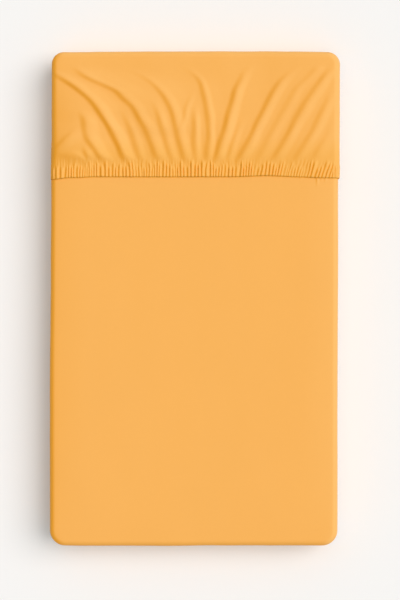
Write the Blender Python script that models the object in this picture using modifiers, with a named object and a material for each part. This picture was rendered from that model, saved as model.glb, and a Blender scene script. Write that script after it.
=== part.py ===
"""A cot mattress closed all round in a fitted sheet.

The sheet wraps the mattress, and its elasticated end turns over the head end as a hood. The hood's
gathered hem lies across the smooth top face, and long soft folds fan out from it towards the corners.

The origin is on the underside, at the middle of the outline. +Y points to the head end, +Z up.
Lengths are in metres.
"""

import bisect
import math
import random
from collections import namedtuple

import bmesh
import bpy
from mathutils import Matrix, Vector

# Mattress and cloth
MATTRESS = Vector((0.695, 1.195, 0.096))
CLOTH = 0.0015  # thickness of the sheet
AIR = 0.0005  # between the mattress and the cloth round it, and between lapping layers
EDGE_RADIUS = 0.015  # rounding of the sheet along every top and bottom edge
HEAD_CORNER = 0.029  # radius of the upright corners, in plan
FOOT_CORNER = 0.038
EDGE_STEPS = 4
CORNER_STEPS = 6

# Hood: the end of the sheet that laps over the top face
HOOD_EASE = 0.001  # the hood's face stands this far outside the rest of the sheet
LAP = CLOTH + AIR  # the same at the hem, where the hood laps over the sheet's own edge
TUCK = 0.040  # how far the sheet runs on under the hood
LAP_KEPT = 0.006  # past the tuck, the lap stays whole over this length
LAP_FADE = 0.060  # and is down to the hood's ease at this one
HEM_Y = 0.2939
SLIT_CLEAR = 0.012  # the hem rises off the side wall over this height
SLIT_GAP = 0.002  # it keeps this far from the sheet's edge until it is clear of it
LEVEL_END = (0.022, 0.004)  # the hem's bends die away between these distances from its lower ends
GAP_END = (0.012, 0.002)  # and the gap opens between these

# The hem's line, seen from above: bends of so much from one girth distance to another, and a rise
Bend = namedtuple("Bend", "start end shift")
HEM_BENDS = (
    Bend(start=-0.235, end=-0.290, shift=-0.0024),
    Bend(start=-0.300, end=-0.345, shift=-0.0042),
    Bend(start=-0.160, end=0.100, shift=0.0011),
    Bend(start=0.255, end=0.300, shift=-0.0015),
    Bend(start=0.335, end=0.352, shift=-0.0012),
)
RISE = 0.0028
RISE_X = 0.166
RISE_WIDTH = 0.045

# Gathers in the elasticated band
BAND = 0.036  # depth of the band, from the hem to where the gathers end
BAND_ROWS = (0.008, 0.023)  # between these, from the hem, the gathers have their full height
GATHER_PITCH = 0.0080
GATHER_UNEVENNESS = 0.32
GATHER_SEED = 15
GATHER_VALLEY = 0.0002
GATHER_PEAK = 0.0024
GATHER_SPREAD = (0.6, 1.35)  # lowest and highest gather, as a share of the peak
GATHER_WALL_SHARE = 0.35  # the gathers' share left on the side walls, where the hem is tight
WALL_LEAD = 0.012  # they start to get lower this far short of the shoulder
GATHER_LEAN = 0.006  # most that a gather leans outwards over the band, halfway to the side

# Fan folds on the hood. Each ridge is steep on its left and gentle on its right
FOLDS_END = 0.569
FOLD_ROWS = 16
GENTLE_FOOT = 0.35  # share of the way from one ridge to the next where the gentle side ends
STEEP_FOOT = 0.80  # and where the next ridge's steep side starts
FOOT_HEIGHT = 0.15  # height left at the foot, as a share of the ridge's
FOLD_TAPER = 0.30  # share of a fold's length over which it fades out at its tip

LongFold = namedtuple("LongFold", "hem_x tip_x tip_y curl height")
LONG_FOLDS = (
    LongFold(hem_x=-0.163, tip_x=-0.318, tip_y=0.541, curl=1.65, height=0.0062),
    LongFold(hem_x=-0.084, tip_x=-0.284, tip_y=0.557, curl=2.4, height=0.0046),
    LongFold(hem_x=-0.019, tip_x=-0.164, tip_y=0.563, curl=2.8, height=0.0038),
    LongFold(hem_x=0.032, tip_x=-0.024, tip_y=0.560, curl=4.0, height=0.0030),
    LongFold(hem_x=0.052, tip_x=0.132, tip_y=0.567, curl=1.10, height=0.0048),
    LongFold(hem_x=0.106, tip_x=0.244, tip_y=0.567, curl=1.25, height=0.0042),
    LongFold(hem_x=0.190, tip_x=0.316, tip_y=0.561, curl=1.05, height=0.0036),
)

# A short fold lies between two long ones, at a share of the way from the left one to the right one.
# Gap 0 is the one to the left of the first long fold
ShortFold = namedtuple("ShortFold", "gap hem_share tip_share tip_y height")
SHORT_FOLDS = (
    ShortFold(gap=0, hem_share=0.44, tip_share=0.40, tip_y=0.385, height=0.0028),
    ShortFold(gap=0, hem_share=0.70, tip_share=0.52, tip_y=0.462, height=0.0052),
    ShortFold(gap=1, hem_share=0.51, tip_share=0.60, tip_y=0.466, height=0.0028),
    ShortFold(gap=2, hem_share=0.54, tip_share=0.60, tip_y=0.490, height=0.0024),
    ShortFold(gap=3, hem_share=0.58, tip_share=0.64, tip_y=0.476, height=0.0034),
    ShortFold(gap=5, hem_share=0.56, tip_share=0.45, tip_y=0.448, height=0.0022),
    ShortFold(gap=6, hem_share=0.54, tip_share=0.52, tip_y=0.548, height=0.0022),
    ShortFold(gap=7, hem_share=0.36, tip_share=0.60, tip_y=0.515, height=0.0028),
    ShortFold(gap=7, hem_share=0.64, tip_share=0.84, tip_y=0.440, height=0.0022),
)

# The hood's left side swells under the folds: from its crest it falls off towards the side edge
SWELL_X = -0.285
SWELL_HEIGHT = 0.0048
SWELL_LEFT = 0.105
SWELL_RIGHT = 0.140
SWELL_END = (0.440, 0.535)  # it dies away between these

SHEET_COLOUR = (0.90, 0.43, 0.10, 1.0)
TICKING_COLOUR = (0.80, 0.78, 0.72, 1.0)

# Worked out from the sizes above
AROUND = CLOTH + AIR
SHEET = MATTRESS + Vector((2 * AROUND, 2 * AROUND, 2 * AROUND))
SHIFT_Y = -HOOD_EASE / 2  # the hood adds its ease at the head end only
FLAT_X = SHEET.x / 2 - EDGE_RADIUS
SHOULDER_Z = SHEET.z - EDGE_RADIUS
SHOULDER_ARC = EDGE_RADIUS * math.pi / 2
BAND_END = HEM_Y + BAND
CLEAR_Z = EDGE_RADIUS + SLIT_CLEAR
TUCK_END = HEM_Y + TUCK
GATHER_REACH = FLAT_X + SHOULDER_ARC + SHOULDER_Z - CLEAR_Z


def smooth_step(value, start, end):
    share = min(max((value - start) / (end - start), 0.0), 1.0)
    return share * share * (3.0 - 2.0 * share)


# --- Solids and cuts ------------------------------------------------------------------------------


def rounded_block(size, bottom_z):
    """A block with round upright corners and round top and bottom edges, standing at bottom_z."""
    mesh = bmesh.new()
    place = Matrix.Translation((0.0, SHIFT_Y, bottom_z + size.z / 2))
    bmesh.ops.create_cube(mesh, size=1.0, matrix=place @ Matrix.Diagonal((*size, 1.0)))
    for radius, end in ((HEAD_CORNER, 1), (FOOT_CORNER, -1)):
        upright = [
            edge
            for edge in mesh.edges
            if abs(edge.verts[0].co.z - edge.verts[1].co.z) > size.z / 2
            and all(abs(abs(vert.co.x) - size.x / 2) < 1e-5 for vert in edge.verts)
            and all((vert.co.y - SHIFT_Y) * end > size.y / 2 - 1e-5 for vert in edge.verts)
        ]
        bmesh.ops.bevel(
            mesh,
            geom=upright,
            offset=radius,
            segments=CORNER_STEPS,
            profile=0.5,
            affect="EDGES",
            material=-1,
        )
    rims = [edge for edge in mesh.edges if abs(edge.verts[0].co.z - edge.verts[1].co.z) < 1e-5]
    bmesh.ops.bevel(
        mesh,
        geom=rims,
        offset=EDGE_RADIUS,
        segments=EDGE_STEPS,
        profile=0.5,
        affect="EDGES",
        material=-1,
    )
    return mesh


def faces_where(mesh, inside):
    return [face for face in mesh.faces if inside(face.calc_center_bounds())]


def verts_where(mesh, inside):
    """The corners of the faces whose centre is inside, each once and in the mesh's order."""
    return list(dict.fromkeys(vert for face in faces_where(mesh, inside) for vert in face.verts))


def cut(mesh, inside, point, direction):
    """Cuts the faces whose centre is inside along the plane through point, across direction."""
    faces = faces_where(mesh, inside)
    edges = dict.fromkeys(edge for face in faces for edge in face.edges)
    verts = dict.fromkeys(vert for face in faces for vert in face.verts)
    bmesh.ops.bisect_plane(
        mesh,
        geom=[*verts, *edges, *faces],
        dist=1e-6,
        plane_co=point,
        plane_no=direction,
    )


# --- Where things are on the sheet ----------------------------------------------------------------


def girth(point):
    """Distance from the sheet's middle line, round the top, the shoulder and the side wall."""
    side = math.copysign(1.0, point.x)
    across = abs(point.x) - FLAT_X
    down = SHOULDER_Z - point.z
    if across <= 0.0:
        return point.x
    if down >= 0.0:
        return side * (FLAT_X + SHOULDER_ARC + down)
    return side * (FLAT_X + EDGE_RADIUS * math.atan2(across, -down))


def across_girth(distance):
    """The point and the direction of the outline at a girth distance."""
    side = math.copysign(1.0, distance)
    past = abs(distance) - FLAT_X
    if past <= 0.0:
        return Vector((distance, 0.0, SHEET.z)), Vector((1.0, 0.0, 0.0))
    if past >= SHOULDER_ARC:
        down = SHOULDER_Z - (past - SHOULDER_ARC)
        return Vector((side * SHEET.x / 2, 0.0, down)), Vector((0.0, 0.0, 1.0))
    turn = past / EDGE_RADIUS
    centre = Vector((side * FLAT_X, 0.0, SHOULDER_Z))
    outwards = Vector((side * math.sin(turn), 0.0, math.cos(turn)))
    along = Vector((math.cos(turn), 0.0, -side * math.sin(turn)))
    return centre + outwards * EDGE_RADIUS, along


def same_side(point, distance):
    """True where the point's face is on the same flat top, left side or right side as the distance."""
    if abs(distance) < FLAT_X:
        return abs(point.x) < FLAT_X
    return math.copysign(point.x, distance) == point.x and abs(point.x) > FLAT_X


def hem_shift(distance):
    """How far the hem lies towards the head from HEM_Y, at a girth distance."""
    shift = RISE * math.exp(-(((distance - RISE_X) / RISE_WIDTH) ** 2))
    for bend in HEM_BENDS:
        shift += bend.shift * smooth_step(distance, bend.start, bend.end)
    short_of_end = GATHER_REACH - abs(distance)
    gap = smooth_step(short_of_end, *GAP_END) * smooth_step(short_of_end, -SLIT_CLEAR, 0.0)
    return shift * smooth_step(short_of_end, LEVEL_END[1], LEVEL_END[0]) + SLIT_GAP * gap


# --- Folds and gathers ----------------------------------------------------------------------------


def long_fold_x(fold, y):
    along = max((y - BAND_END) / (fold.tip_y - BAND_END), 0.0)
    return fold.hem_x + (fold.tip_x - fold.hem_x) * min(along, 1.0) ** fold.curl


def fold_height(fold, y):
    along = (y - BAND_END) / (fold.tip_y - BAND_END)
    return fold.height * (1.0 - smooth_step(along, 1.0 - FOLD_TAPER, 1.0))


def ridges(y):
    """(x, height) of every ridge at y, from the left edge of the flat top to the right one."""
    walls = [-FLAT_X, *(long_fold_x(fold, y) for fold in LONG_FOLDS), FLAT_X]
    found = [(-FLAT_X, 0.0), (FLAT_X, 0.0)]
    found += [(long_fold_x(fold, y), fold_height(fold, y)) for fold in LONG_FOLDS]
    for fold in SHORT_FOLDS:
        along = min(max((y - BAND_END) / (fold.tip_y - BAND_END), 0.0), 1.0)
        share = fold.hem_share + (fold.tip_share - fold.hem_share) * along
        x = walls[fold.gap] + (walls[fold.gap + 1] - walls[fold.gap]) * share
        found.append((x, fold_height(fold, y)))
    return sorted(found)


def fold_outline(y):
    """(x, height) of the folds' cross-section at y: each ridge, its gentle foot, the next steep foot."""
    tops = ridges(y)
    outline = [tops[0]]
    for (left_x, left_height), (right_x, right_height) in zip(tops, tops[1:]):
        gap = right_x - left_x
        outline.append((left_x + gap * GENTLE_FOOT, left_height * FOOT_HEIGHT))
        outline.append((left_x + gap * STEEP_FOOT, right_height * FOOT_HEIGHT))
        outline.append((right_x, right_height))
    return outline


def height_on(outline, x):
    """The height at x of an outline of (x, height) pairs, straight between them."""
    after = bisect.bisect_left([pair[0] for pair in outline], x)
    if after == 0 or after == len(outline):
        return outline[min(after, len(outline) - 1)][1]
    (x0, height0), (x1, height1) = outline[after - 1], outline[after]
    return height0 + (height1 - height0) * (x - x0) / (x1 - x0)


def swell(x, y):
    """The height of the hood's broad swell, under its folds."""
    off = (x - SWELL_X) / (SWELL_RIGHT if x > SWELL_X else SWELL_LEFT)
    if abs(off) > 1.0:
        return 0.0
    strength = smooth_step(y, HEM_Y, BAND_END) * (1.0 - smooth_step(y, *SWELL_END))
    return SWELL_HEIGHT * math.cos(math.pi / 2 * off) ** 2 * strength


def gather_outline():
    """(girth distance, height) of the gathers along the hem, a valley and a peak by turns."""
    uneven = random.Random(GATHER_SEED)
    outline = []
    distance = -GATHER_REACH
    while distance < GATHER_REACH:
        on_wall = smooth_step(abs(distance), FLAT_X - WALL_LEAD, FLAT_X + SHOULDER_ARC / 2)
        peak = GATHER_PEAK * uneven.uniform(*GATHER_SPREAD)
        peak *= 1.0 + (GATHER_WALL_SHARE - 1.0) * on_wall
        outline.append((distance, peak if len(outline) % 2 else GATHER_VALLEY))
        distance += GATHER_PITCH / 2 * (1.0 + GATHER_UNEVENNESS * uneven.uniform(-1.0, 1.0))
    return outline


def gather_lean(distance):
    """How far a gather leans outwards over the band, with its sign: none in the middle or on the sides."""
    if abs(distance) > FLAT_X:
        return 0.0
    return GATHER_LEAN * math.sin(math.pi * distance / FLAT_X)


def gather_height(outline, distance, y):
    """The height of the gathers at a girth distance and y, following their lean back to the hem."""
    share = (y - HEM_Y) / BAND
    at_hem = distance - gather_lean(distance - gather_lean(distance) * share) * share
    return height_on(outline, at_hem) * gather_strength(y)


def gather_strength(y):
    """The gathers are a little lower at the hem itself, full in the band, and gone at its end."""
    at_hem = smooth_step(y, HEM_Y - BAND / 2, HEM_Y + BAND_ROWS[0])
    return at_hem * (1.0 - smooth_step(y, HEM_Y + BAND_ROWS[1], BAND_END))


# --- The sheet ------------------------------------------------------------------------------------


def on_hood(point):
    return point.y > HEM_Y and point.z > EDGE_RADIUS


def in_folds(point):
    return BAND_END < point.y < FOLDS_END and point.z > SHEET.z - 1e-4


def in_band(point):
    return HEM_Y < point.y < BAND_END and point.z > EDGE_RADIUS


def open_hem(mesh):
    """Cuts the slit across the top and down both side walls, which parts the hood from the top face."""
    across = Vector((0.0, 1.0, 0.0))
    cut(mesh, lambda point: point.z > EDGE_RADIUS, Vector((0.0, HEM_Y, 0.0)), across)
    sides = Vector((0.0, 0.0, CLEAR_Z))
    cut(mesh, lambda point: point.z > EDGE_RADIUS, sides, Vector((0.0, 0.0, 1.0)))
    hem = [
        edge
        for edge in mesh.edges
        if all(abs(vert.co.y - HEM_Y) < 1e-5 for vert in edge.verts)
        and all(vert.co.z > EDGE_RADIUS - 1e-5 for vert in edge.verts)
    ]
    bmesh.ops.split_edges(mesh, edges=hem)


def cut_hood(mesh, gathers):
    """Gives the hood the rows and columns that its folds and gathers need."""
    across = Vector((0.0, 1.0, 0.0))
    for row in (*(HEM_Y + row for row in BAND_ROWS), BAND_END, TUCK_END + LAP_FADE, FOLDS_END):
        cut(mesh, on_hood, Vector((0.0, row, 0.0)), across)
    for row in range(1, FOLD_ROWS):
        y = BAND_END + (FOLDS_END - BAND_END) * row / FOLD_ROWS
        cut(mesh, in_folds, Vector((0.0, y, 0.0)), across)

    # Even columns first, then each slides to its place beside or on a ridge
    columns = len(fold_outline(BAND_END)) - 1
    pitch = 2 * FLAT_X / columns
    for column in range(1, columns):
        cut(mesh, in_folds, Vector((column * pitch - FLAT_X, 0.0, 0.0)), Vector((1.0, 0.0, 0.0)))
    for vert in verts_where(mesh, in_folds):
        column = round((vert.co.x + FLAT_X) / pitch)
        vert.co.x = fold_outline(vert.co.y)[column][0]

    for distance, _ in gathers[1:-1]:
        point, along = across_girth(distance)
        point.y = HEM_Y
        leaning = along - across * (gather_lean(distance) / BAND)
        cut(mesh, lambda centre: in_band(centre) and same_side(centre, distance), point, leaning)


def raise_hood(mesh, gathers):
    """Lifts the hood off the face it laps over, and raises its folds and gathers."""
    mesh.normal_update()
    moves = []
    for vert in verts_where(mesh, on_hood):
        y = vert.co.y
        distance = girth(vert.co)
        lift = LAP + (HOOD_EASE - LAP) * smooth_step(y, TUCK_END + LAP_KEPT, TUCK_END + LAP_FADE)
        lift *= smooth_step(vert.co.z, EDGE_RADIUS, CLEAR_Z)
        if y < BAND_END + 1e-5 and abs(distance) <= GATHER_REACH:
            lift += gather_height(gathers, distance, y)
        if abs(distance) < FLAT_X and y < FOLDS_END:
            strength = smooth_step(y, HEM_Y, BAND_END)
            lift += height_on(fold_outline(max(y, BAND_END)), distance) * strength
        if y < FOLDS_END:
            flat_share = 1.0 - smooth_step(abs(distance), FLAT_X, FLAT_X + SHOULDER_ARC)
            lift += swell(distance, y) * flat_share
        along_hem = hem_shift(distance) * (1.0 - smooth_step(y, HEM_Y, BAND_END))
        moves.append((vert, vert.normal * lift + Vector((0.0, along_hem, 0.0))))
    for vert, move in moves:
        vert.co += move


def tuck_under(mesh):
    """Runs the sheet's own edge on under the hood."""
    edge_line = [
        edge
        for edge in mesh.edges
        if edge.is_boundary
        and all(abs(vert.co.y - HEM_Y) < 1e-5 for vert in edge.verts)
        and all(vert.co.z > CLEAR_Z - 1e-5 for vert in edge.verts)
        and edge.link_faces[0].calc_center_bounds().y < HEM_Y
    ]
    grown = bmesh.ops.extrude_edge_only(mesh, edges=edge_line)["geom"]
    ends = [item for item in grown if isinstance(item, bmesh.types.BMVert)]
    bmesh.ops.translate(mesh, verts=ends, vec=(0.0, TUCK, 0.0))


def sheet_mesh():
    mesh = rounded_block(SHEET, 0.0)
    gathers = gather_outline()
    open_hem(mesh)
    cut_hood(mesh, gathers)
    raise_hood(mesh, gathers)
    tuck_under(mesh)
    return mesh


# --- Objects --------------------------------------------------------------------------------------


def plain_material(name, colour, roughness):
    material = bpy.data.materials.new(name)
    material.use_nodes = True
    shader = material.node_tree.nodes["Principled BSDF"]
    shader.inputs["Base Color"].default_value = colour
    shader.inputs["Roughness"].default_value = roughness
    shader.inputs["Metallic"].default_value = 0.0
    return material


def add_object(name, mesh, material, collection):
    data = bpy.data.meshes.new(name)
    mesh.to_mesh(data)
    mesh.free()
    data.materials.append(material)
    data.shade_smooth()
    data.set_sharp_from_angle(angle=math.radians(40))
    made = bpy.data.objects.new(name, data)
    collection.objects.link(made)
    return made


def main():
    for old in list(bpy.data.objects):
        bpy.data.objects.remove(old)
    collection = bpy.data.collections.new("fitted_sheet_on_cot_mattress")
    bpy.context.scene.collection.children.link(collection)

    ticking = plain_material("ticking", TICKING_COLOUR, 0.80)
    add_object("mattress", rounded_block(MATTRESS, AROUND), ticking, collection)

    cotton = plain_material("cotton", SHEET_COLOUR, 0.85)
    sheet = add_object("fitted_sheet", sheet_mesh(), cotton, collection)
    thickness = sheet.modifiers.new("Cloth thickness", "SOLIDIFY")
    thickness.thickness = CLOTH
    thickness.offset = -1.0
    thickness.use_even_offset = True
    thickness.use_rim = True


main()
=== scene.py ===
import bisect
import math
import random
from collections import namedtuple
from functools import lru_cache

import bmesh
import bpy
from mathutils import Matrix, Vector, noise


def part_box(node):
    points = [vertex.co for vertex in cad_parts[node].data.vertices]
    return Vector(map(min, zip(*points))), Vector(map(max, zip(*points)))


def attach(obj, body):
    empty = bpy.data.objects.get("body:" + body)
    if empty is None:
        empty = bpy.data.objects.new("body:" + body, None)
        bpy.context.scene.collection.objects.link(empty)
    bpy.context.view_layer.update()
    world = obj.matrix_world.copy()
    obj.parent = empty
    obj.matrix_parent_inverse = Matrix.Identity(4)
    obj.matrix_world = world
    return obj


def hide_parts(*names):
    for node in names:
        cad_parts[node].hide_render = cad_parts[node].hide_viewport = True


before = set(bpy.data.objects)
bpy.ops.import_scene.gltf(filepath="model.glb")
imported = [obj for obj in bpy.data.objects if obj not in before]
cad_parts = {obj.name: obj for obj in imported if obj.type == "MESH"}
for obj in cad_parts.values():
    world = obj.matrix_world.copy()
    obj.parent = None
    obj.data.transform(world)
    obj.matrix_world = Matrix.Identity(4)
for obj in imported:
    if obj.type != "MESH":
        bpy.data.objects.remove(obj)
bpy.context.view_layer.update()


# --- The mattress ---------------------------------------------------------------------------------
# A plain cot mattress, 70 by 120 cm, its foam closed in a woven off-white cotton ticking.
# It lies inside the sheet and carries every face of it.

TICKING_PALE = (0.80, 0.77, 0.70, 1.0)
TICKING_SHADE = (0.66, 0.62, 0.55, 1.0)
TICKING_THREAD = 0.0008
TICKING_RELIEF = 0.0002
TICKING_WEAR = 14.0  # the grain of its wear, per metre
TICKING_MIX = 0.30, 0.18, 0.30  # the shade everywhere, along the twill, and where it is worn
WHITE = (1.0, 1.0, 1.0, 1.0)
CLOTH_SHINE = 0.25
SHEEN_ROUGHNESS = 0.45
MIX_SHARE, MIX_FIRST, MIX_SECOND, MIX_RESULT = 0, 6, 7, 2  # a Mix node's sockets for colours


class Wired:
    """A node's socket that can be reckoned with: a sum of sockets adds its Math nodes."""

    def __init__(self, tree, socket=None):
        self.tree = tree
        self.socket = socket

    def node(self, kind, settings, inputs, output=0):
        """Adds a node, sets it up, gives its inputs values or links, and returns one output."""
        made = self.tree.nodes.new(kind)
        for name, value in settings.items():
            setattr(made, name, value)
        for key, value in inputs.items():
            if isinstance(value, Wired):
                self.tree.links.new(value.socket, made.inputs[key])
            else:
                made.inputs[key].default_value = value
        return Wired(self.tree, made.outputs[output])

    def maths(self, operation, *values):
        return self.node("ShaderNodeMath", {"operation": operation}, dict(enumerate(values)))

    def __add__(self, other):
        return self.maths("ADD", self, other)

    __radd__ = __add__

    def __sub__(self, other):
        return self.maths("SUBTRACT", self, other)

    def __rsub__(self, other):
        return self.maths("SUBTRACT", other, self)

    def __mul__(self, other):
        return self.maths("MULTIPLY", self, other)

    __rmul__ = __mul__

    def sine(self):
        return self.maths("SINE", self)

    def noise(self, per_metre, detail):
        """Soft noise in the piece's own space, about 0.5 on average."""
        place = self.node("ShaderNodeTexCoord", {}, {}, "Object")
        inputs = {"Vector": place, "Scale": per_metre, "Detail": detail}
        return self.node("ShaderNodeTexNoise", {}, inputs, "Fac")

    def parts(self):
        split = self.node("ShaderNodeSeparateXYZ", {}, {"Vector": self})
        return [Wired(self.tree, socket) for socket in split.socket.node.outputs]

    def ramp(self, stops):
        """The colour at this place between (place, colour) stops."""
        colour = self.node("ShaderNodeValToRGB", {}, {"Fac": self})
        ramp = colour.socket.node.color_ramp
        for place, _ in stops[2:]:
            ramp.elements.new(place)
        for element, (place, value) in zip(ramp.elements, stops):
            element.position = place
            element.color = (*value, 1.0)
        return colour

    def mix(self, blend, share, first, second):
        settings = {"data_type": "RGBA", "blend_type": blend, "clamp_factor": True}
        inputs = {MIX_SHARE: share, MIX_FIRST: first, MIX_SECOND: second}
        return self.node("ShaderNodeMix", settings, inputs, MIX_RESULT)

    def between(self, first, second):
        """The colour that lies this share of the way from the first to the second."""
        return self.mix("MIX", self, first, second)

    def times(self, colour, share):
        """This colour multiplied with another one, to a share of the full effect."""
        return self.mix("MULTIPLY", share, self, colour)

    def bump(self, depth, strength):
        inputs = {"Height": self, "Distance": depth, "Strength": strength}
        return self.node("ShaderNodeBump", {}, inputs, "Normal")


def cloth_material(name, roughness, sheen, sheen_tint=WHITE):
    """A matt cloth's material, its shader and its nodes. Colour and bump are wired afterwards."""
    material = bpy.data.materials.new(name)
    material.use_nodes = True
    shader = material.node_tree.nodes["Principled BSDF"]
    shader.inputs["Roughness"].default_value = roughness
    shader.inputs["Metallic"].default_value = 0.0
    shader.inputs["Specular IOR Level"].default_value = CLOTH_SHINE
    shader.inputs["Sheen Weight"].default_value = sheen
    shader.inputs["Sheen Roughness"].default_value = SHEEN_ROUGHNESS
    shader.inputs["Sheen Tint"].default_value = sheen_tint
    return material, shader, Wired(material.node_tree)


def wire(shader, **inputs):
    """Links a value to each of the shader's inputs, named with low lines in place of spaces."""
    for name, value in inputs.items():
        value.tree.links.new(value.socket, shader.inputs[name.replace("_", " ")])


def ticking_material():
    material, shader, nodes = cloth_material("woven_ticking", roughness=0.85, sheen=0.15)
    x, y, z = nodes.node("ShaderNodeTexCoord", {}, {}, "Object").parts()
    turn = math.pi / TICKING_THREAD
    twill = ((x + y + z) * turn).sine() * ((x - y + z) * (turn / 2)).sine()
    worn = nodes.noise(TICKING_WEAR, detail=3.0)
    everywhere, along_twill, where_worn = TICKING_MIX
    shade = everywhere + twill * along_twill + worn * where_worn
    wire(shader, Base_Color=shade.between(TICKING_PALE, TICKING_SHADE))
    wire(shader, Normal=(twill + worn * 0.5).bump(TICKING_RELIEF, strength=0.5))
    return material


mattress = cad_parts["mattress"]
mattress.material_slots[0].material = ticking_material()


# --- The fitted sheet -----------------------------------------------------------------------------
# One cloth of fine plain-weave cotton, dyed warm orange, closed round the whole mattress. Its
# elasticated end turns over the head as a hood: the elastic in the hem draws it into fine gathers,
# and the spare width fans out from them in long soft folds that die away towards the head corners.

CLOTH = 0.0015
AIR = 0.0005
EDGE_RADIUS = 0.015
HEAD_CORNER = 0.029
FOOT_CORNER = 0.037
EDGE_STEPS = 8
CORNER_STEPS = 10
SAME_PLACE = 1e-5  # places closer than this are the same
CUT_SLACK = 1e-6
TOP_SLACK = 1e-4  # a face this close to the top lies on it
WALL_RISE = 0.5  # where the way out of the cloth rises less than this, the cloth is on a wall

HOOD_EASE = 0.0012
HOOD_PULL = 0.9  # the hood sits this share closer at the left, and looser at the right
LAP = CLOTH + AIR
TUCK = 0.040
LAP_KEPT = 0.006  # past the tuck, the lap stays whole over this length
LAP_FADE = 0.060
HEM_Y = 0.2939
SLIT_CLEAR = 0.012
SLIT_GAP = 0.002
LEVEL_END = 0.022, 0.004  # the hem's bends die away between these distances from its lower ends
GAP_END = 0.012, 0.002  # and the gap at the sheet's edge opens between these
HEM_FOLLOWED = 0.045  # the face below follows the hem's bends this far

# The hem's line seen from above, as bends of so much from one girth distance to another
Bend = namedtuple("Bend", "start end shift")
HEM_BENDS = (
    Bend(-0.235, -0.290, -0.0024),
    Bend(-0.300, -0.345, -0.0042),
    Bend(-0.160, 0.100, 0.0011),
    Bend(0.255, 0.300, -0.0015),
)
RISE = 0.0031  # and it rises by this much more round one place
RISE_X = 0.174
RISE_WIDTH = 0.050

BAND = 0.033
BAND_FULL = 0.008  # the gathers have their full height from here on, up from the hem
BAND_FINE = 1.4  # the fine cells run over this many times the band
GATHER_SEED = 11
GATHER_PITCH = 0.0078
GATHER_UNEVENNESS = 0.42
GATHER_STRETCHES = 0.60  # the pitch and the height drift by this much noise, bold and fine by turns
GATHER_DRIFT = 30.0
GATHER_DRIFT_PLACE = 7.5, 0.5  # where in the noise the drift is read
GATHER_VALLEY = 0.0001
GATHER_PEAK = 0.0025
GATHER_SPREAD = 0.5, 1.35  # lowest and highest gather, as a share of the peak
GATHER_SHORTEST = 0.74  # a gather runs up over this share of the band
GATHER_LONGER = 0.60  # and up to this much more
GATHER_RARELY = 1.5  # the higher this is, the fewer gathers are long
GATHER_KEPT = 0.66  # its height stays whole over this share of its run
GATHER_WALL_SHARE = 0.5
GATHER_LEAN = 0.009
GATHER_LEANING = 0.03, 0.30  # the lean sets in between these places
GATHER_WAVER = 0.0024
GATHER_WAVER_NOISE = Vector((45.0, 30.0))
GATHER_WAVER_PLACE = 2.5

# Fine puckers lie over the gathers' upper ends
PUCKER = 0.0007
PUCKER_NOISE = Vector((240.0, 26.0))
PUCKER_PLACE = 5.5
PUCKERED = 0.006, 0.018, 0.034, 0.050  # they rise and die away between these, up from the hem

# Small creases in the face below the hem, where its elastic pulls most
Crease = namedtuple("Crease", "x length height")
CREASE_WIDTH = 0.0045
CREASES = (
    Crease(0.256, 0.009, 0.0005),
    Crease(0.2965, 0.026, 0.0013),
    Crease(0.307, 0.010, 0.0007),
    Crease(0.3165, 0.014, 0.0009),
)
CREASED = Vector((0.248, 0.262)), Vector((0.325, 0.2955))
CREASE_CELL = 0.0022

# How far the cloth's edges stray outwards from straight, in mm, at places along them
Stray = namedtuple("Stray", "along out")
HEAD_EDGE = (
    Stray(-345, -1.7), Stray(-300, -1.6), Stray(-270, -0.9), Stray(-235, -0.3), Stray(-100, 0.0),
    Stray(0, 0.4), Stray(110, 0.5), Stray(165, 1.2), Stray(225, 0.1), Stray(300, -0.2),
    Stray(345, -0.6),
)
FOOT_EDGE = (
    Stray(-340, 1.6), Stray(-270, 2.0), Stray(-130, 1.3), Stray(-30, 1.0), Stray(65, 0.0),
    Stray(165, -0.9), Stray(240, -1.3),
)
LEFT_EDGE = (
    Stray(-590, -0.3), Stray(-550, 0.0), Stray(-440, 0.3), Stray(-295, 1.2), Stray(-150, 1.5),
    Stray(20, 0.5), Stray(190, 0.1), Stray(293, 0.2), Stray(295, -1.5), Stray(337, -1.3),
    Stray(386, -0.6), Stray(450, 0.0), Stray(530, -0.4),
)
RIGHT_EDGE = (
    Stray(-590, 0.0), Stray(-550, 0.3), Stray(-515, 0.6), Stray(-440, 0.4), Stray(-295, -0.3),
    Stray(-150, -0.7), Stray(190, -0.9), Stray(293, -1.3), Stray(295, -0.7), Stray(337, 0.3),
    Stray(386, 0.0),
)
END_DRAWN = 0.14  # the cloth within this distance of an end follows the end's edge
SIDE_DRAWN = 0.07

FOLDS_END = 0.569
BAND_CELL = Vector((0.0011, 0.0030))
FOLD_CELL = Vector((0.0032, 0.0040))
BODY_CELL = 0.010
WALL_CELL = 0.011
UNDERSIDE = 0.001  # the underside, lower than this, stays whole

# Painted highlight and painted shade: the dye is painted paler where the cloth turns to the light
# at the right, and deeper where it turns away from it, to the left. Each stop is how far it turns,
# and the share of the dye's colour
DYE = Vector((0.915, 0.445, 0.101))
# the way that faces from the light: the cloth is painted deeper the more it turns this way
AWAY_FROM_LIGHT = (-0.97, -0.24, 0.0)
LightShadeTone = namedtuple("LightShadeTone", "turned share")
LIT_AND_SHADED_TONES = (
    LightShadeTone(-0.95, Vector((0.96, 1.16, 2.00))),
    LightShadeTone(-0.75, Vector((1.00, 1.06, 1.35))),
    LightShadeTone(-0.25, Vector((1.00, 1.08, 1.29))),
    LightShadeTone(-0.03, Vector((1.00, 1.00, 1.00))),
    LightShadeTone(0.42, Vector((1.00, 0.82, 0.22))),
    LightShadeTone(0.75, Vector((1.00, 0.84, 0.31))),
    LightShadeTone(1.00, Vector((1.00, 0.84, 0.32))),
)

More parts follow.
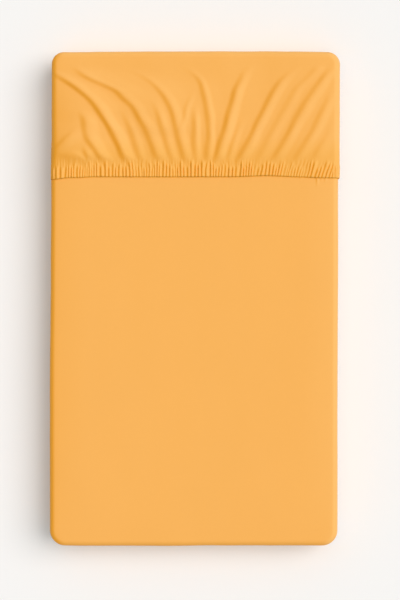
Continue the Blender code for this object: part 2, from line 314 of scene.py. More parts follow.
# The cotton's grains, per metre, their detail, and their shares of its shade and of its relief
Grain = namedtuple("Grain", "per_metre detail shade relief")
GRAINS = (
    Grain(7.0, 3.0, 0.40, 0.0),  # the dye
    Grain(90.0, 2.0, 0.25, 0.8),  # slubs in the thread
    Grain(700.0, 2.0, 0.20, 0.6),  # fibres
)
SHEET_THREAD = 0.00055
WEAVE_SHADE = 0.15
WEAVE_RELIEF = 0.5
DYE_UNEVENNESS = 0.12
DULLED = (0.5, 0.5, 0.5, 1.0)  # the dye is multiplied by this where it took least
COTTON_RELIEF = 0.0002

# Painted shade and painted shadow: the dye is painted darker, some over the gathered band where
# shade falls between the gathers, and most in the shadow just below the hem
PAINTED_SHADE_TONES = (
    (0.0, (1.0, 1.0, 1.0)),
    (0.5, (0.972, 0.952, 0.78)),
    (1.0, (1.0, 0.97, 0.41)),
)
PAINTED_SHADE_BAND = 0.5, 0.045, 0.110  # the band's share, and it dies away between these, up from the hem
PAINTED_SHADOW_LINE = 0.0009, 0.0034  # the painted shadow below the hem dies away between these

# A fold's crest runs through these places, from the hem to its tip, in mm. Its left flank is steep
# and its right flank gentle; towards the tip, the tail's share of it runs out TAIL times as wide.
# A negative height is a dip, which takes some of a fold's height away
Fold = namedtuple("Fold", "crest height steep gentle tail fade")
FOLDS = (
    Fold(((-277, 330), (-286, 350), (-297, 388), (-288, 425), (-276, 455), (-287, 495),
          (-314, 535)), 5.4, 105, 140, 0.0, 0.5),
    Fold(((-352, 345), (-338, 357), (-323, 371), (-306, 388), (-288, 404), (-268, 420)),
         3.0, 18, 40, 0.0, 0.6),
    Fold(((-258, 325), (-270, 334), (-284, 345), (-306, 362)), 2.1, 60, 18, 0.0, 0.5),
    Fold(((-254, 330), (-259, 348), (-268, 372)), 2.7, 12, 22, 0.0, 0.6),
    Fold(((-215, 330), (-229, 348), (-244, 371), (-253, 386), (-259, 412), (-264, 434),
          (-275, 456)), 5.2, 19, 29, 0.3, 0.26),
    Fold(((-252, 386), (-259, 412), (-264, 434), (-271, 450)), -1.5, 17, 24, 0.3, 0.5),
    Fold(((-161, 330), (-172, 352), (-189, 390), (-204, 416), (-243, 473), (-288, 512), (-333, 543),
          (-360, 558)), 6.2, 18, 27, 0.60, 0.20),
    Fold(((-124, 330), (-132, 350), (-145, 390), (-168, 444), (-182, 468)), 2.1, 16, 16, 0.3, 0.4),
    Fold(((-81, 330), (-91, 350), (-112, 406), (-130, 437), (-146, 464), (-166, 483), (-189, 503),
          (-254, 533), (-298, 566)), 3.9, 18, 27, 0.66, 0.16),
    Fold(((-112, 400), (-130, 437), (-146, 464), (-166, 483), (-189, 505), (-254, 536),
          (-296, 562)), 1.9, 46, 210, 0.0, 0.25),
    Fold(((-88, 390), (-95, 440), (-105, 480), (-125, 520), (-150, 560)), 2.6, 170, 200, 0.0, 0.45),
    Fold(((-49, 330), (-57, 350), (-73, 406), (-92, 463), (-113, 494)), 2.4, 16, 16, 0.3, 0.45),
    Fold(((-18, 330), (-24, 350), (-39, 405), (-56, 464), (-81, 502), (-116, 532), (-186, 568)),
         3.5, 16, 22, 0.50, 0.42),
    Fold(((-31, 405), (-25, 432), (-19, 464), (-10, 483), (-3, 506)), 1.2, 12, 12, 0.0, 0.4),
    Fold(((5, 330), (4, 350), (3, 385), (3, 440), (2, 474)), 2.6, 16, 12, 0.0, 0.35),
    Fold(((31, 330), (34, 350), (38, 388), (35, 444), (23, 503), (10, 533), (-18, 556), (-46, 566)),
         2.9, 15, 14, 0.30, 0.26),
    Fold(((52, 330), (59, 350), (75, 405), (92, 464), (102, 503), (114, 530), (123, 548),
          (150, 574)), 4.8, 17, 21, 0.20, 0.34),
    Fold(((78, 330), (85, 348), (94, 380), (112, 425), (122, 448)), 1.9, 14, 14, 0.0, 0.6),
    Fold(((107, 330), (118, 350), (134, 378), (146, 405), (175, 464), (207, 522), (227, 542),
          (261, 572)), 4.3, 17, 22, 0.20, 0.32),
    Fold(((151, 330), (164, 350), (197, 415), (230, 473), (251, 512), (273, 532), (307, 568)),
         1.6, 18, 20, 0.0, 0.06),
    Fold(((190, 330), (204, 350), (240, 415), (272, 473), (286, 493), (312, 532), (345, 572)),
         3.5, 18, 23, 0.0, 0.18),
    Fold(((241, 330), (255, 350), (289, 405), (321, 473), (340, 522)), 2.5, 17, 20, 0.0, 0.40),
    Fold(((284, 330), (298, 350), (327, 405), (343, 446)), 1.75, 15, 26, 0.0, 0.85),
)
MM = 0.001
TAIL = 3.2
TAIL_GROWS = 0.1, 0.75  # the tail's share grows over this part of a fold's run
HEM_LOWERING = 0.86, 0.4  # a fold's height at the hem's end, and where on its run it is whole
FADE_IN = -0.008, 0.022  # a fold rises to its full height between these, from its first place
FOLD_INSET = 0.004  # the folds begin to die away this far short of the shoulder
CREST_NOISE = 26.0
CREST_SWAY = 0.0016  # the crests stray this far sideways
CREST_RISE = 0.28  # their height, and their width below, vary by these shares
CREST_SPREAD = 0.20
CREST_START = 0.5  # where in the noise the first fold is read
CREST_APART = 5.3, 9.0  # and how far apart there two folds are, and two traits of one fold

# The cloth's swell has a slow and a quick grain, per metre, each read at its own place in the noise
Swell = namedtuple("Swell", "per_metre start share")
SWELLS = (
    Swell(Vector((9.0, 6.0, 9.0)), 4.0, 1.0),
    Swell(Vector((24.0, 17.0, 24.0)), 11.0, 0.35),
)
HOOD_SWELL = 0.0009
BODY_SWELL = 0.0003
WALL_SWELL = 0.0008
SWELL_CLEAR = 0.05  # no swell right at the hem: it sets in over this length on either side
CROWN = 0.0020
CROWN_SIDE = 0.070
CROWN_END = 0.150

body_low, body_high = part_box("mattress")
SHEET = body_high - body_low + Vector((2 * LAP, 2 * LAP, 2 * LAP))
MIDDLE = (body_low + body_high) / 2
FLAT_X = SHEET.x / 2 - EDGE_RADIUS
SHOULDER_Z = SHEET.z - EDGE_RADIUS
SHOULDER_ARC = EDGE_RADIUS * math.pi / 2
BAND_END = HEM_Y + BAND
FINE_END = HEM_Y + BAND * BAND_FINE
CLEAR_Z = EDGE_RADIUS + SLIT_CLEAR
TUCK_END = HEM_Y + TUCK
GATHER_REACH = FLAT_X + SHOULDER_ARC + SHOULDER_Z - CLEAR_Z
ACROSS = Vector((0.0, 1.0, 0.0))
SIDEWAYS = Vector((1.0, 0.0, 0.0))
UP = Vector((0.0, 0.0, 1.0))


def smooth_step(value, start, end):
    """From 0 at the start to 1 at the end, which may also be the lower of the two."""
    share = min(max((value - start) / (end - start), 0.0), 1.0)
    return share * share * (3.0 - 2.0 * share)


def round_off(mesh, edges, radius, segments):
    bmesh.ops.bevel(
        mesh, geom=edges, offset=radius, segments=segments,
        profile=0.5, affect="EDGES", material=-1,
    )


def rounded_block(size, middle):
    """A block with round upright corners and round top and bottom edges."""
    mesh = bmesh.new()
    place = Matrix.Translation(middle) @ Matrix.Diagonal((*size, 1.0))
    bmesh.ops.create_cube(mesh, size=1.0, matrix=place)
    for radius, end in ((HEAD_CORNER, 1), (FOOT_CORNER, -1)):
        upright = [
            edge
            for edge in mesh.edges
            if abs(edge.verts[0].co.z - edge.verts[1].co.z) > size.z / 2
            and all(abs(abs(vert.co.x) - size.x / 2) < SAME_PLACE for vert in edge.verts)
            and all((vert.co.y - middle.y) * end > size.y / 2 - SAME_PLACE for vert in edge.verts)
        ]
        round_off(mesh, upright, radius, CORNER_STEPS)
    rims = [
        edge
        for edge in mesh.edges
        if abs(edge.verts[0].co.z - edge.verts[1].co.z) < SAME_PLACE
    ]
    round_off(mesh, rims, EDGE_RADIUS, EDGE_STEPS)
    return mesh


def slice_faces(mesh, inside, planes):
    """Cuts the faces whose middle is inside along (point, direction) planes, met in this order."""
    faces = [face for face in mesh.faces if inside(face.calc_center_bounds())]
    for point, direction in planes:
        verts = dict.fromkeys(vert for face in faces for vert in face.verts)
        edges = dict.fromkeys(edge for face in faces for edge in face.edges)
        parts = bmesh.ops.bisect_plane(
            mesh, geom=[*verts, *edges, *faces],
            dist=CUT_SLACK, plane_co=point, plane_no=direction,
        )["geom"]
        faces = [
            part
            for part in parts
            if isinstance(part, bmesh.types.BMFace)
            and (part.calc_center_bounds() - point).dot(direction) > 0.0
        ]


def steps(start, end, cell):
    """The places that part a length into even steps of about a cell."""
    count = max(round(abs(end - start) / cell), 1)
    return [start + (end - start) * step / count for step in range(1, count)]


def planes_at(places, direction):
    """Cutting planes square to a direction, at these places along it."""
    return [(direction * place, direction) for place in places]


def girth(point):
    """Distance from the sheet's middle line, round the top, the shoulder and the side wall."""
    side = math.copysign(1.0, point.x)
    across = abs(point.x) - FLAT_X
    down = SHOULDER_Z - point.z
    if across <= 0.0:
        return point.x
    if down >= 0.0:
        return side * (FLAT_X + SHOULDER_ARC + down)
    return side * (FLAT_X + EDGE_RADIUS * math.atan2(across, -down))


def across_girth(distance):
    """The point of the outline at a girth distance, the way on from there, and the way out."""
    side = math.copysign(1.0, distance)
    past = abs(distance) - FLAT_X
    if past <= 0.0:
        return Vector((distance, 0.0, SHEET.z)), SIDEWAYS, UP
    if past >= SHOULDER_ARC:
        down = SHOULDER_Z - (past - SHOULDER_ARC)
        return Vector((side * SHEET.x / 2, 0.0, down)), UP * -side, SIDEWAYS * side
    turn = past / EDGE_RADIUS
    outwards = Vector((side * math.sin(turn), 0.0, math.cos(turn)))
    onwards = Vector((math.cos(turn), 0.0, -side * math.sin(turn)))
    return Vector((side * FLAT_X, 0.0, SHOULDER_Z)) + outwards * EDGE_RADIUS, onwards, outwards


def hem_shift(distance):
    """How far the hem lies towards the head from HEM_Y, at a girth distance."""
    shift = RISE * math.exp(-(((distance - RISE_X) / RISE_WIDTH) ** 2))
    for bend in HEM_BENDS:
        shift += bend.shift * smooth_step(distance, bend.start, bend.end)
    short_of_end = GATHER_REACH - abs(distance)
    gap = smooth_step(short_of_end, *GAP_END) * smooth_step(short_of_end, -SLIT_CLEAR, 0.0)
    return shift * smooth_step(short_of_end, LEVEL_END[1], LEVEL_END[0]) + SLIT_GAP * gap


def crest_x(fold, y):
    """Where a fold's crest lies at y, on a smooth curve through its places."""
    places = fold.crest
    last = len(places) - 1
    found = next((n for n in range(last) if y < places[n + 1][1] * MM), last - 1)
    (x0, y0), (x1, y1) = places[found], places[found + 1]
    before = places[max(found - 1, 0)]
    after = places[min(found + 2, last)]
    slope0 = (x1 - before[0]) / (y1 - before[1])
    slope1 = (after[0] - x0) / (after[1] - y0)
    run = y1 - y0
    t = min((y / MM - y0) / run, 1.0)
    if t < 0.0:
        return MM * (x0 + slope0 * run * t)
    return MM * (
        (2 * t ** 3 - 3 * t ** 2 + 1) * x0
        + (t ** 3 - 2 * t ** 2 + t) * slope0 * run
        + (3 * t ** 2 - 2 * t ** 3) * x1
        + (t ** 3 - t ** 2) * slope1 * run
    )


@lru_cache(maxsize=None)
def folds_at(y):
    """(x, height, steep width, gentle width, tail's share) of each fold crossing y, in metres."""
    found = []
    folds_apart, traits_apart = CREST_APART
    lowered, whole = HEM_LOWERING
    for number, fold in enumerate(FOLDS):
        start, tip = fold.crest[0][1] * MM, fold.crest[-1][1] * MM
        along = (y - start) / (tip - start)
        if along >= 1.0 or y < start + FADE_IN[0]:
            continue
        read_at = number * folds_apart + CREST_START
        sway, rise, spread = (
            noise.noise(Vector((y * CREST_NOISE, read_at, trait * traits_apart)))
            for trait in range(3)
        )
        x = crest_x(fold, y) + CREST_SWAY * sway
        wide = MM * (1.0 + CREST_SPREAD * spread)
        height = fold.height * MM * (1.0 + CREST_RISE * rise)
        height *= lowered + (1.0 - lowered) * smooth_step(along, 0.0, whole)
        height *= smooth_step(y, start + FADE_IN[0], start + FADE_IN[1])
        height *= 1.0 - smooth_step(along, 1.0 - fold.fade, 1.0)
        tail = fold.tail * smooth_step(along, *TAIL_GROWS)
        found.append((x, height, fold.steep * wide, fold.gentle * wide, tail))
    return found


def flank(off, reach):
    """The share of a fold's height that is left this far from its crest."""
    return math.cos(math.pi / 2 * off / reach) ** 2 if abs(off) < reach else 0.0


def fold_height(distance, y):
    """The height of all folds together at a girth distance and y. They die away at the walls."""
    height = 0.0
    for x, top, steep, gentle, tail in folds_at(round(y, 5)):
        off = distance - x
        if off < 0.0:
            height += top * flank(off, steep)
        else:
            height += top * ((1.0 - tail) * flank(off, gentle) + tail * flank(off, gentle * TAIL))
    walls = smooth_step(abs(distance), FLAT_X - FOLD_INSET, FLAT_X + SHOULDER_ARC)
    return height * (1.0 - walls)


Gather = namedtuple("Gather", "distance height reach")


def gather_row():
    """The gathers along the hem, valley and peak by turns, each with its own height and reach."""
    uneven = random.Random(GATHER_SEED)
    row = []
    distance = -GATHER_REACH
    while distance < GATHER_REACH:
        on_wall = smooth_step(abs(distance), FLAT_X, FLAT_X + SHOULDER_ARC)
        drift = noise.noise(Vector((distance * GATHER_DRIFT, *GATHER_DRIFT_PLACE)))
        bold = 1.0 + GATHER_STRETCHES * drift
        peak = GATHER_PEAK * bold * uneven.uniform(*GATHER_SPREAD)
        peak *= 1.0 + (GATHER_WALL_SHARE - 1.0) * on_wall
        reach = BAND * (GATHER_SHORTEST + GATHER_LONGER * uneven.random() ** GATHER_RARELY)
        row.append(Gather(distance, peak if len(row) % 2 else GATHER_VALLEY, reach))
        distance += GATHER_PITCH / 2 * bold * (1.0 + GATHER_UNEVENNESS * uneven.uniform(-1.0, 1.0))
    return row


GATHERS = gather_row()
GATHER_PLACES = [gather.distance for gather in GATHERS]


def gather_height(distance, y):
    """The height of the gathers, which stray as they run up, and lean outwards at the right."""
    up = y - HEM_Y
    if abs(distance) < FLAT_X:
        scale = GATHER_WAVER_NOISE
        distance -= GATHER_LEAN * smooth_step(distance, *GATHER_LEANING) * up / BAND
        place = Vector((distance * scale.x, y * scale.y, GATHER_WAVER_PLACE))
        distance += GATHER_WAVER * noise.noise(place)
    after = bisect.bisect_left(GATHER_PLACES, distance)
    if after == 0 or after == len(GATHERS):
        return 0.0
    left, right = GATHERS[after - 1], GATHERS[after]
    share = (distance - left.distance) / (right.distance - left.distance)
    blend = (1.0 - math.cos(math.pi * share)) / 2
    reach = left.reach if left.height > right.height else right.reach
    full = smooth_step(up, -BAND / 2, BAND_FULL)
    full *= 1.0 - smooth_step(up, reach * GATHER_KEPT, reach)
    return (left.height + (right.height - left.height) * blend) * full


def pucker_height(distance, y):
    """The height of the puckers, which lean with the gathers that they lie over."""
    up = y - HEM_Y
    start, full, kept, end = PUCKERED
    strength = smooth_step(up, start, full) * (1.0 - smooth_step(up, kept, end))
    strength *= 1.0 - smooth_step(abs(distance), FLAT_X, FLAT_X + SHOULDER_ARC)
    if strength == 0.0:
        return 0.0
    along = distance - GATHER_LEAN * smooth_step(distance, *GATHER_LEANING) * up / BAND
    place = Vector((along * PUCKER_NOISE.x, y * PUCKER_NOISE.y, PUCKER_PLACE))
    return PUCKER * strength * noise.noise(place)


def crease_height(point):
    """The small creases of the face below the hem, which die away towards the foot."""
    height = 0.0
    for crease in CREASES:
        off = abs(point.x - crease.x) / CREASE_WIDTH
        if off < 1.0:
            along = smooth_step(HEM_Y - point.y, crease.length, 0.0)
            height += crease.height * along * math.cos(math.pi / 2 * off) ** 2
    return height


def hood_lift(distance, y, z):
    """How far the hood's cloth stands off the block that the sheet is formed on."""
    ease = HOOD_EASE * (1.0 + HOOD_PULL * math.sin(math.pi / 2 * distance / GATHER_REACH))
    lift = LAP + (ease - LAP) * smooth_step(y, TUCK_END + LAP_KEPT, TUCK_END + LAP_FADE)
    lift *= smooth_step(z, EDGE_RADIUS, CLEAR_Z)
    if abs(distance) <= GATHER_REACH and z > EDGE_RADIUS:
        lift += gather_height(distance, y) + pucker_height(distance, y)
    if y < FOLDS_END:
        lift += fold_height(distance, y)
    return lift


def hem_drift(distance, y):
    """How far the cloth on either side of the hem is pulled along with the hem's bends."""
    if y < HEM_Y:
        return hem_shift(distance) * (1.0 - smooth_step(HEM_Y - y, 0.0, HEM_FOLLOWED))
    return hem_shift(distance) * (1.0 - smooth_step(y, HEM_Y, BAND_END))


def crown(point):
    """The filling bulges a little: the top is highest in the middle and rolls off to its edges."""
    sideways = (FLAT_X - abs(point.x)) / CROWN_SIDE
    endways = (SHEET.y / 2 - EDGE_RADIUS - abs(point.y - MIDDLE.y)) / CROWN_END
    height = CROWN * smooth_step(point.z, SHOULDER_Z, SHEET.z)
    for share in (sideways, endways):
        height *= 1.0 - (1.0 - min(max(share, 0.0), 1.0)) ** 2
    return height


def unevenness(point, amount):
    """A soft irregular swell, as cloth has where nothing stretches it quite flat."""
    height = 0.0
    for scale, start, share in SWELLS:
        place = Vector((point.x * scale.x, point.y * scale.y, point.z * scale.z + start))
        height += share * noise.noise(place)
    return amount * height


def cloth_lift(point, outwards, hood):
    """How far the cloth's outer face stands off the block that it is formed on."""
    swell = HOOD_SWELL if hood else BODY_SWELL
    if abs(outwards.z) < WALL_RISE:
        swell = WALL_SWELL
    from_hem = smooth_step(abs(point.y - HEM_Y), 0.0, SWELL_CLEAR)
    swell *= smooth_step(point.z, EDGE_RADIUS, CLEAR_Z) * from_hem
    lift = unevenness(point, swell) + crown(point)
    if hood:
        return lift + hood_lift(girth(point), point.y, point.z)
    if on_top(point) and point.y < HEM_Y:
        lift += crease_height(point)
    return lift


def hood_place(distance, y):
    """The point of the hood's outer face at a girth distance and y."""
    point, _, outwards = across_girth(distance)
    point.y = y
    lift = outwards * cloth_lift(point, outwards, True)
    return point + lift + edge_move(point) + ACROSS * hem_drift(distance, y)


def stray(edge, along):
    """How far an edge strays outwards at a place along it, in metres."""
    found = next((n for n in range(1, len(edge)) if along < edge[n].along * MM), len(edge) - 1)
    before, after = edge[found - 1], edge[found]
    share = smooth_step(along, before.along * MM, after.along * MM)
    return MM * (before.out + (after.out - before.out) * share)


def edge_move(point):
    """How the cloth lies over with its straying edges. Its foot on the floor stays straight."""
    side_x, end_y = SHEET.x / 2, SHEET.y / 2
    across, along = point.x - MIDDLE.x, point.y - MIDDLE.y
    move = Vector((
        stray(RIGHT_EDGE, along) * smooth_step(across, side_x - SIDE_DRAWN, side_x)
        - stray(LEFT_EDGE, along) * smooth_step(-across, side_x - SIDE_DRAWN, side_x),
        stray(HEAD_EDGE, across) * smooth_step(along, end_y - END_DRAWN, end_y)
        - stray(FOOT_EDGE, across) * smooth_step(-along, end_y - END_DRAWN, end_y),
        0.0,
    ))
    return move * smooth_step(point.z, EDGE_RADIUS, CLEAR_Z)


def painted_shade_share(point, hood):
    """The share of painted shade and painted shadow at a point, from 0 to 1."""
    if hood:
        share, start, end = PAINTED_SHADE_BAND
        return share * (1.0 - smooth_step(point.y - HEM_Y, start, end))
    return 1.0 - smooth_step(HEM_Y - point.y, *PAINTED_SHADOW_LINE)


def on_top(point):
    return point.z > SHEET.z - TOP_SLACK


def off_floor(point):
    """Whether a point lies above the round bottom edge, which stays as it is."""
    return point.z > EDGE_RADIUS


def on_hood(point):
    return point.y > HEM_Y and off_floor(point)


def below_hem(point):
    return point.y < HEM_Y and off_floor(point)


def in_band(point):
    return HEM_Y < point.y < FINE_END and off_floor(point)


def in_folds(point):
    return FINE_END < point.y < FOLDS_END and off_floor(point)


def zone(point):
    """0 on the flat top, and -1 or 1 past its left or right side."""
    return 0 if abs(point.x) < FLAT_X else math.copysign(1, point.x)


def cut_sheet(mesh):
    """Cuts the block's faces into cells: fine for the gathers, coarser where it is smooth."""
    levels = (CLEAR_Z, *steps(CLEAR_Z, SHOULDER_Z, WALL_CELL))
    slice_faces(mesh, lambda point: EDGE_RADIUS < point.z < SHOULDER_Z, planes_at(levels, UP))
    for row in (HEM_Y, BAND_END, FINE_END, FOLDS_END):
        slice_faces(mesh, off_floor, planes_at([row], ACROSS))

    # The gathered band: columns round the girth, then rows across them
    zones = (-1, -GATHER_REACH, -FLAT_X), (0, -FLAT_X, FLAT_X), (1, FLAT_X, GATHER_REACH)
    for side, first, last in zones:
        slice_faces(
            mesh,
            lambda point: in_band(point) and zone(point) == side and point.z > CLEAR_Z,
            [across_girth(distance)[:2] for distance in steps(first, last, BAND_CELL.x)],
        )
    slice_faces(mesh, in_band, planes_at(steps(HEM_Y, FINE_END, BAND_CELL.y), ACROSS))

    # The folds' field: columns on the flat top only, then rows round the whole hood
    columns = planes_at(steps(-FLAT_X, FLAT_X, FOLD_CELL.x), SIDEWAYS)
    slice_faces(mesh, lambda point: in_folds(point) and on_top(point), columns)
    slice_faces(mesh, in_folds, planes_at(steps(FINE_END, FOLDS_END, FOLD_CELL.y), ACROSS))

    # The creased patch below the hem
    low, high = CREASED
    rows = planes_at((low.y, *steps(low.y, high.y, CREASE_CELL * 2)), ACROSS)
    slice_faces(mesh, lambda point: on_top(point) and point.y < HEM_Y, rows)
    columns = planes_at((low.x, *steps(low.x, high.x, CREASE_CELL), high.x), SIDEWAYS)
    slice_faces(mesh, lambda point: on_top(point) and low.y < point.y < high.y, columns)

    # The rows where the painted shadow below the hem dies away
    for below in PAINTED_SHADOW_LINE:
        slice_faces(mesh, below_hem, planes_at([HEM_Y - below], ACROSS))

    # The smooth rest: rows from the foot's corners to the hem, then columns towards both ends
    foot_y = MIDDLE.y - SHEET.y / 2 + FOOT_CORNER
    slice_faces(mesh, below_hem, planes_at(steps(foot_y, HEM_Y, BODY_CELL), ACROSS))
    columns = planes_at(steps(-FLAT_X, FLAT_X, BODY_CELL), SIDEWAYS)
    slice_faces(mesh, lambda point: point.y < HEM_Y and point.z > UNDERSIDE, columns)
    slice_faces(mesh, lambda point: point.y > FOLDS_END and point.z > UNDERSIDE, columns)


def part_hem(mesh):
    """Parts the hood's hem from the face below it, across the top and down both side walls."""
    hem = [
        edge
        for edge in mesh.edges
        if all(abs(vert.co.y - HEM_Y) < SAME_PLACE for vert in edge.verts)
        and all(vert.co.z > CLEAR_Z - SAME_PLACE for vert in edge.verts)
    ]
    bmesh.ops.split_edges(mesh, edges=hem)


def lay_threads(mesh):
    """Gives each face its place on the cloth, in metres, so that the weave follows the surface."""
    threads = mesh.loops.layers.uv.new("threads")
    for face in mesh.faces:
        turned = [abs(part) for part in face.normal]
        away = turned.index(max(turned))
        for loop in face.loops:
            loop[threads].uv = [part for axis, part in enumerate(loop.vert.co) if axis != away]


def raise_cloth(mesh):
    """Lifts the hood off the face it laps over, raises its folds and gathers, eases the rest."""
    painted_shade = mesh.verts.layers.float.new("painted_shade")
    mesh.normal_update()
    hood = dict.fromkeys(
        vert for face in mesh.faces if on_hood(face.calc_center_bounds()) for vert in face.verts
    )
    moves = []
    for vert in mesh.verts:
        # each vertex keeps its share of painted shade and painted shadow
        vert[painted_shade] = painted_shade_share(vert.co, vert in hood) if off_floor(vert.co) else 0.0
        move = vert.normal * cloth_lift(vert.co, vert.normal, vert in hood) + edge_move(vert.co)
        if off_floor(vert.co) and vert.co.y > HEM_Y - HEM_FOLLOWED:
            move += ACROSS * hem_drift(girth(vert.co), vert.co.y)
        moves.append((vert, move))
    for vert, move in moves:
        vert.co += move


def ends_body(edge):
    """Whether an open edge ends the face below the hem, and not the hood."""
    edge_y = (edge.verts[0].co.y + edge.verts[1].co.y) / 2
    return edge.link_faces[0].calc_center_bounds().y < edge_y


def tuck_under(mesh):
    """Runs the sheet's own edge on under the hood, all along the hem, and with the hood's edges."""
    edge_line = [edge for edge in mesh.edges if edge.is_boundary and ends_body(edge)]
    grown = bmesh.ops.extrude_edge_only(mesh, edges=edge_line)["geom"]
    for end in grown:
        if isinstance(end, bmesh.types.BMVert):
            tucked = end.co + ACROSS * TUCK
            end.co = tucked + edge_move(tucked) - edge_move(end.co)


def sheet_mesh():
    mesh = rounded_block(SHEET, MIDDLE)
    cut_sheet(mesh)
    part_hem(mesh)
    mesh.normal_update()
    lay_threads(mesh)
    raise_cloth(mesh)
    tuck_under(mesh)
    return mesh


def cotton_material():
    material, shader, nodes = cloth_material(
        "sheet_cotton", roughness=0.80, sheen=0.10, sheen_tint=(1.0, 0.86, 0.66, 1.0)
    )
    across, along, _ = nodes.node("ShaderNodeUVMap", {"uv_map": "threads"}, {}, "UV").parts()
    turn = math.pi / SHEET_THREAD
    weave = (across * turn).sine() * (along * turn).sine()
    shade, relief = weave * WEAVE_SHADE, weave * WEAVE_RELIEF
    for grain in GRAINS:
        rough = nodes.noise(grain.per_metre, grain.detail)
        shade += rough * grain.shade
        relief += rough * grain.relief

    # How far the cloth turns runs from -1 to 1, and the places of a ramp run from 0 to 1
    normal = nodes.node("ShaderNodeNewGeometry", {}, {}, "Normal")
    turned = nodes.node(
        "ShaderNodeVectorMath", {"operation": "DOT_PRODUCT"}, {0: normal, 1: AWAY_FROM_LIGHT}, "Value"
    )
    # painted highlight and painted shade, by how far the cloth turns from the light
    painted_light = (turned * 0.5 + 0.5).ramp([((at + 1) / 2, DYE * share) for at, share in LIT_AND_SHADED_TONES])
    # painted shade over the gathered band, and painted shadow just below the hem
    painted_shade = nodes.node("ShaderNodeAttribute", {"attribute_name": "painted_shade"}, {}, "Fac")
    painted_light_and_shade = painted_light.times(painted_shade.ramp(PAINTED_SHADE_TONES), 1.0)
    wire(shader, Base_Color=painted_light_and_shade.times(DULLED, shade * DYE_UNEVENNESS))
    wire(shader, Normal=relief.bump(COTTON_RELIEF, strength=0.35))
    return material


def add_piece(name, mesh, material):
    data = bpy.data.meshes.new(name)
    mesh.to_mesh(data)
    mesh.free()
    data.materials.append(material)
    data.shade_smooth()
    piece = bpy.data.objects.new(name, data)
    bpy.context.scene.collection.objects.link(piece)
    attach(piece, "root")
    return piece


cotton = cotton_material()
sheet = add_piece("fitted_sheet_cloth", sheet_mesh(), cotton)
thickness = sheet.modifiers.new("Cloth thickness", "SOLIDIFY")
thickness.thickness = CLOTH
thickness.offset = -1.0
thickness.use_even_offset = True
thickness.use_rim = True
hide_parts("fitted_sheet")


# --- The hem's stitching --------------------------------------------------------------------------
# The elastic lies in a casing turned up along the hem. One row of lockstitches in thread of the
# sheet's own colour holds it, and runs over the gathers from one side wall to the other.

STITCH = Vector((0.0016, 0.00055, 0.00040))
STITCH_PITCH = 0.0023
STITCH_END = 0.004  # the row stops this far short of the gathers' ends
STITCH_SUNK = 0.00010
CASING = 0.0115  # from the hem's edge to the row


def stitch_row(mesh, distances, y):
    """Lays a stitch at each girth distance, along the cloth there."""
    painted_shade = mesh.verts.layers.float.new("painted_shade")
    for distance in distances:
        before = hood_place(distance - STITCH.x / 2, y)
        middle = hood_place(distance, y)
        after = hood_place(distance + STITCH.x / 2, y)
        _, _, outwards = across_girth(distance)
        along = (after - before).normalized()
        beside = outwards.cross(along).normalized()
        turn = Matrix((along, beside, along.cross(beside))).transposed().to_4x4()
        middle = (before + 2 * middle + after) / 4 + outwards * (STITCH.z / 2 - STITCH_SUNK)
        place = Matrix.Translation(middle)
        made = bmesh.ops.create_icosphere(
            mesh, subdivisions=1, radius=0.5, matrix=place @ turn @ Matrix.Diagonal((*STITCH, 1.0))
        )["verts"]
        # the stitches take the band's share of painted shade
        for vert in made:
            vert[painted_shade] = PAINTED_SHADE_BAND[0]


stitch_mesh = bmesh.new()
row_end = GATHER_REACH - STITCH_END
stitch_row(stitch_mesh, steps(-row_end, row_end, STITCH_PITCH), HEM_Y + CASING)
stitching = add_piece("hem_stitching", stitch_mesh, cotton)


# --- The corner seams -----------------------------------------------------------------------------
# At each upright corner the cloth is seamed to take its depth: a narrow felled seam, sewn flat,
# that runs from one round edge of the corner to the other.

SEAM_INSET = 0.002  # the seam stops this far short of the round edges
SEAM = Vector((0.0050, 0.0010, SHOULDER_Z - EDGE_RADIUS - 2 * SEAM_INSET))
SEAM_PROUD = 0.0004
SEAM_ROUND = 0.4  # its edges are rounded by this share of its thickness
SEAM_CELL = 0.006


def corner_seam(mesh, side, end, radius):
    """One upright seam on the middle of a corner's round, laid along the cloth there."""
    out = Vector((side, end, 0.0)).normalized()
    centre = Vector((side * (SHEET.x / 2 - radius), end * (SHEET.y / 2 - radius), 0.0))
    corner = Vector((MIDDLE.x, MIDDLE.y, (EDGE_RADIUS + SHOULDER_Z) / 2)) + centre + out * radius
    turn = Matrix.Rotation(math.atan2(-out.x, out.y), 4, "Z")
    place = Matrix.Translation(corner + out * (SEAM_PROUD - SEAM.y / 2)) @ turn
    made = bmesh.new()
    bmesh.ops.create_cube(made, size=1.0, matrix=place @ Matrix.Diagonal((*SEAM, 1.0)))
    round_off(made, made.edges[:], SEAM.y * SEAM_ROUND, 2)
    low, high = corner.z - SEAM.z / 2, corner.z + SEAM.z / 2
    slice_faces(made, lambda point: True, planes_at(steps(low, high, SEAM_CELL), UP))
    for vert in made.verts:
        under = Vector((corner.x, corner.y, vert.co.z))
        vert.co += out * cloth_lift(under, out, end > 0) + edge_move(under)
    part = bpy.data.meshes.new("seam")
    made.to_mesh(part)
    made.free()
    mesh.from_mesh(part)
    bpy.data.meshes.remove(part)


seam_mesh = bmesh.new()
for side in (-1, 1):
    corner_seam(seam_mesh, side, 1, HEAD_CORNER)
    corner_seam(seam_mesh, side, -1, FOOT_CORNER)
seam_mesh.normal_update()
lay_threads(seam_mesh)
seams = add_piece("corner_seams", seam_mesh, cotton)


# --- Floor, light and camera ----------------------------------------------------------------------
# A warm white floor, a large soft light from the right and a little from the head, a broad one
# from overhead, and a camera looking straight down on the top face.

FLOOR_REACH = 60.0
FLOOR_BELOW = 0.0004
FLOOR_COLOUR = (0.87, 0.862, 0.842, 1.0)

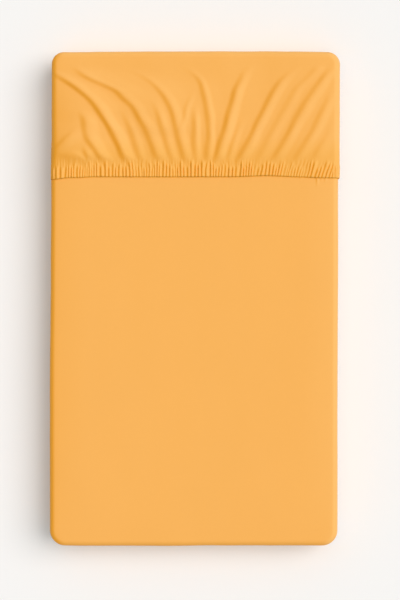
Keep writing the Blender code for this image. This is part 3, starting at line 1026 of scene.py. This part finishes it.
# The sunny side wall throws orange on the paper beside it, which the photo hardly shows: the paper
# is bluer there, and this fades away from the wall and past its two ends
FLOOR_BESIDE = (0.79, 0.885, 0.990, 1.0)
BESIDE_X = 0.350
BESIDE_FADE = 0.028
BESIDE_Y = 0.620  # as far towards head and foot as this
BESIDE_END = 0.060  # and it has faded in this much inside that
CAMERA_ABOVE = 3.5
CAMERA_PLACE = Vector((0.0134, -0.0034))
CAMERA_TURN = math.radians(0.24)
VIEW_HEIGHT = 1.4525
SENSOR = 24.0

Lamp = namedtuple("Lamp", "name towards strength softness colour")
LAMPS = (
    Lamp("right_softbox", (0.705, 0.25, 1.0), 1.935, 46, (1.0, 0.868, 0.800)),
    Lamp("overhead_softbox", (0.0, 0.05, 1.0), 0.76, 60, (1.0, 0.868, 0.800)),
)
ROOM_LIGHT = (0.337, 0.433, 0.487, 1.0)


def floor_material():
    material, shader, nodes = cloth_material("floor_paper", roughness=0.9, sheen=0.0)
    x, y, _ = nodes.node("ShaderNodeTexCoord", {}, {}, "Object").parts()
    away = nodes.maths("ABSOLUTE", x - BESIDE_X) * (-1.0 / BESIDE_FADE)
    inside = (BESIDE_Y - nodes.maths("ABSOLUTE", y)) * (1.0 / BESIDE_END)
    along = nodes.maths("MINIMUM", nodes.maths("MAXIMUM", inside, 0.0), 1.0)
    beside = nodes.maths("EXPONENT", away) * along
    wire(shader, Base_Color=beside.between(FLOOR_COLOUR, FLOOR_BESIDE))
    return material


floor_mesh = bmesh.new()
bmesh.ops.create_grid(
    floor_mesh, size=FLOOR_REACH, matrix=Matrix.Translation((0.0, 0.0, -FLOOR_BELOW))
)
floor_data = bpy.data.meshes.new("floor")
floor_mesh.to_mesh(floor_data)
floor_mesh.free()
floor_data.materials.append(floor_material())
floor = bpy.data.objects.new("floor", floor_data)
bpy.context.scene.collection.objects.link(floor)

for lamp in LAMPS:
    light = bpy.data.lights.new(lamp.name, "SUN")
    light.energy = lamp.strength
    light.angle = math.radians(lamp.softness)
    light.color = lamp.colour
    holder = bpy.data.objects.new(lamp.name, light)
    holder.rotation_euler = Vector(lamp.towards).to_track_quat("Z", "Y").to_euler()
    bpy.context.scene.collection.objects.link(holder)

room = bpy.data.worlds.new("room")
room.use_nodes = True
room.node_tree.nodes["Background"].inputs["Color"].default_value = ROOM_LIGHT
bpy.context.scene.world = room
bpy.context.scene.view_settings.view_transform = "Standard"

lens = bpy.data.cameras.new("camera")
lens.sensor_fit = "VERTICAL"
lens.sensor_height = SENSOR
lens.lens = SENSOR * (CAMERA_ABOVE - SHEET.z) / VIEW_HEIGHT
camera = bpy.data.objects.new("camera", lens)
camera.location = (*CAMERA_PLACE, CAMERA_ABOVE)
camera.rotation_euler = (0.0, 0.0, CAMERA_TURN)
bpy.context.scene.collection.objects.link(camera)
bpy.context.scene.camera = camera
